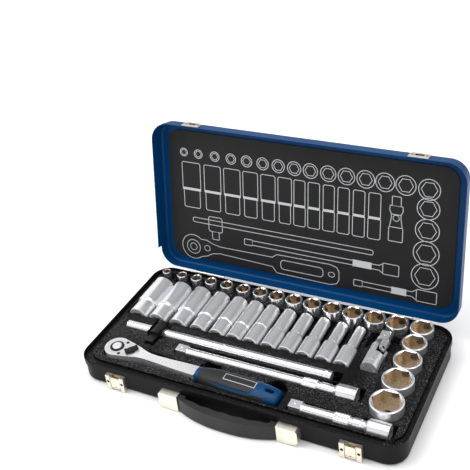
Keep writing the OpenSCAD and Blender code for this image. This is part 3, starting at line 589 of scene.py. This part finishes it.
def build_grip():
    NA = 72
    xs = []
    x = GRIP[0][0]
    while x < GRIP[-1][0]:
        xs.append(x)
        x += 0.6 if (x < 130 or x > 232) else 1.25
    xs.append(GRIP[-1][0])
    V, F, mi = [], [], []
    for x in xs:
        for k in range(NA):
            a = 2 * math.pi * k / NA
            off = 0.0
            if is_blue(x, a) and 129 < x < 236:
                off = -0.45
            # fine ribs pressed in the grey side fields
            elif 160 < x < 200 and math.sin(a) < 0.16 and math.sin(a) > -0.55:
                off = -0.28 * (0.5 + 0.5 * math.cos(2 * math.pi * x / 4.0))
            y, z = grip_point(x, a, off)
            V.append(rat(x, y, z))
    for i in range(len(xs) - 1):
        for k in range(NA):
            j = (k + 1) % NA
            F.append([i * NA + k, i * NA + j, (i + 1) * NA + j, (i + 1) * NA + k][::-1])
            mi.append(1 if is_blue((xs[i] + xs[i + 1]) / 2, 2 * math.pi * (k + 0.5) / NA) else 0)
    F.append([k for k in range(NA)])
    mi.append(1)
    F.append([(len(xs) - 1) * NA + k for k in range(NA)][::-1])
    mi.append(1)
    o = obj_from("grip_two_part", V, F, M["grey"], "ratchet", True)
    o.data.materials.append(M["blue"])
    for p, m in zip(o.data.polygons, mi):
        p.material_index = m
    # hanging hole: a rounded slot cut right through
    hv, hf = [], []
    ring = []
    for cx, a0 in ((222.6, 90), (229.4, -90)):
        for i in range(9):
            a = math.radians(a0 + i * 22.5)
            ring.append((cx + 2.9 * math.cos(a), 2.9 * math.sin(a)))
    n = len(ring)
    for z in (0, 50):
        for px, py in ring:
            hv.append(rat(px, py, z))
    hf.append(list(range(n))[::-1])
    hf.append([n + i for i in range(n)])
    for i in range(n):
        hf.append([i, (i + 1) % n, n + (i + 1) % n, n + i])
    cut = obj_from("slot_cutter", hv, hf, M["blue"], "ratchet")
    md = o.modifiers.new("slot", "BOOLEAN")
    md.operation = "DIFFERENCE"
    md.object = cut
    md.solver = "EXACT"
    bpy.context.view_layer.update()
    dg = bpy.context.evaluated_depsgraph_get()
    me = bpy.data.meshes.new_from_object(o.evaluated_get(dg))
    o.modifiers.clear()
    o.data = me
    bpy.data.objects.remove(cut)
    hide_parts("ratchet_grip")
    # blank label frame on the crown of the grip
    def top(x, y, h):
        _, hw, hh, cz = grip_at(x)
        e = 2.6
        return cz + hh * (1 - min(0.999, abs(y) / hw) ** e) ** (1 / e) + h
    LV, LF = [], []
    def strip(pts, w):
        k0 = len(LV)
        n = len(pts)
        for i, (x, y) in enumerate(pts):
            a = pts[(i - 1) % n]
            c = pts[(i + 1) % n]
            d1 = Vector((x - a[0], y - a[1])).normalized()
            d2 = Vector((c[0] - x, c[1] - y)).normalized()
            t = (d1 + d2).normalized()
            nn = Vector((-t.y, t.x))
            kk = w / 2 / max(0.5, nn.dot(Vector((-d1.y, d1.x))))
            for sgn in (1, -1):
                px, py = x + nn.x * kk * sgn, y + nn.y * kk * sgn
                LV.append(rat(px, py, top(px, py, -0.15)))
                LV.append(rat(px, py, top(px, py, 0.12)))
        for i in range(n):
            a = k0 + 4 * i
            b = k0 + 4 * ((i + 1) % n)
            LF.extend([[a + 1, a + 3, b + 3, b + 1], [a, b, b + 2, a + 2], [a, a + 1, b + 1, b], [a + 2, b + 2, b + 3, a + 3]])
    pts = []
    x0, x1, y0, y1 = 164, 207, -4.6, 4.8
    for i in range(18):
        pts.append((x0 + (x1 - x0) * i / 18, y0))
    for i in range(5):
        pts.append((x1, y0 + (y1 - y0) * i / 5))
    for i in range(18):
        pts.append((x1 - (x1 - x0) * i / 18, y1))
    for i in range(5):
        pts.append((x0, y1 - (y1 - y0) * i / 5))
    strip(pts, 0.8)
    obj_from("grip_label_frame", LV, LF, M["ink"], "ratchet", False)


build_grip()


# ------------------------------------------------------------------ knurled bands of the extensions
def knurl(name, x0, x1, y, z, r, body, tooth=0.34, turns=30, pitch=1.25):
    """A diamond knurl: two crossed sets of helical ridges on a sleeve over the bar's plain band."""
    na, nx = turns * 8, int((x1 - x0) / 0.22)
    V, F = [], []
    for i in range(nx + 1):
        x = x0 + (x1 - x0) * i / nx
        fade = min(1.0, (x - x0) / 0.5, (x1 - x) / 0.5)
        for k in range(na):
            t = k / na
            a = abs(((t * turns + x / (2 * pitch)) % 1) - 0.5) * 2
            b = abs(((t * turns - x / (2 * pitch)) % 1) - 0.5) * 2
            rr = r + tooth * min(a, b) * fade
            V.append((x, y + rr * math.cos(2 * math.pi * t), z + rr * math.sin(2 * math.pi * t)))
    for i in range(nx):
        for k in range(na):
            j = (k + 1) % na
            F.append([i * na + k, (i + 1) * na + k, (i + 1) * na + j, i * na + j][::-1])
    F.append([k for k in range(na)])
    F.append([nx * na + k for k in range(na)][::-1])
    obj_from(name, V, F, M["satin_x"], body, False)


knurl("knurl_250", -107 + 180.2, -107 + 198.8, -41, 24.2, 7.58, "ext_250")
knurl("knurl_125", 74 + 57.2, 74 + 75.8, -84, 26.2, 7.58, "ext_125")


# ------------------------------------------------------------------ camera
def camera():
    az, el, roll = (math.radians(v) for v in (30.55, 29.82, -7.18))
    b = Vector((math.sin(az) * math.cos(el), -math.cos(az) * math.cos(el), math.sin(el)))
    r = Vector((math.cos(az), math.sin(az), 0))
    u = b.cross(r)
    c, s = math.cos(roll), math.sin(roll)
    r2, u2 = c * r + s * u, -s * r + c * u
    cam = bpy.data.cameras.new("camera")
    cam.lens = 69.2
    cam.sensor_width = 36
    cam.shift_y = -0.12
    cam.clip_end = 20
    o = bpy.data.objects.new("camera", cam)
    p = (0.4524, -0.7869, 0.8027)
    o.matrix_world = Matrix(((r2.x, u2.x, b.x, p[0]), (r2.y, u2.y, b.y, p[1]), (r2.z, u2.z, b.z, p[2]), (0, 0, 0, 1)))
    bpy.context.scene.collection.objects.link(o)
    bpy.context.scene.camera = o


camera()

# ------------------------------------------------------------------ floor, light
def floor():
    me = bpy.data.meshes.new("floor")
    s = 6
    me.from_pydata([(-s, -s, -0.0002), (s, -s, -0.0002), (s, s, -0.0002), (-s, s, -0.0002)], [], [(0, 1, 2, 3)])
    o = bpy.data.objects.new("floor", me)
    bpy.context.scene.collection.objects.link(o)
    k = Mat("floor_white", 0.0)
    k.color(k.ramp(k.noise(3, 2), [(0.2, (0.93, 0.93, 0.93)), (0.8, (0.95, 0.95, 0.95))]))
    k.b.inputs["Roughness"].default_value = 0.7
    me.materials.append(k.m)


floor()


def area(name, loc, target, size, power, sy=None, color=(1, 1, 1)):
    l = bpy.data.lights.new(name, "AREA")
    l.shape = "RECTANGLE"
    l.size = size
    l.size_y = sy or size
    l.energy = power
    l.color = color
    o = bpy.data.objects.new(name, l)
    o.location = loc
    d = Vector(target) - Vector(loc)
    o.rotation_euler = d.to_track_quat("-Z", "Y").to_euler()
    bpy.context.scene.collection.objects.link(o)
    return o


area("key_softbox", (-0.9, -0.5, 1.7), (0, 0, 0), 1.0, 18, 1.0)
area("fill_softbox", (1.5, -0.9, 1.0), (0, 0, 0.05), 0.8, 5, 0.8)
area("top_softbox", (0.1, 0.3, 2.0), (0, 0.0, 0), 1.4, 13, 0.7)

w = bpy.data.worlds.new("studio")
bpy.context.scene.world = w
w.use_nodes = True
nt = w.node_tree
bg = nt.nodes["Background"]
tc = nt.nodes.new("ShaderNodeTexCoord")
sep = nt.nodes.new("ShaderNodeSeparateXYZ")
nt.links.new(tc.outputs["Generated"], sep.inputs[0])
rp = nt.nodes.new("ShaderNodeValToRGB")
el = rp.color_ramp.elements
el[0].position = 0.0
el[0].color = (0.55, 0.55, 0.55, 1)
el[1].position = 1.0
el[1].color = (0.92, 0.92, 0.93, 1)
for p, c in ((0.04, 0.30), (0.10, 0.34), (0.17, 0.92), (0.40, 1.0), (0.60, 0.95), (0.66, 0.62), (0.72, 0.62), (0.78, 0.95)):
    e = el.new(p)
    e.color = (c, c, c * 1.01, 1)
nt.links.new(sep.outputs["Z"], rp.inputs["Fac"])
nt.links.new(rp.outputs["Color"], bg.inputs["Color"])
bg.inputs["Strength"].default_value = 0.95

bpy.context.scene.view_settings.view_transform = "Standard"
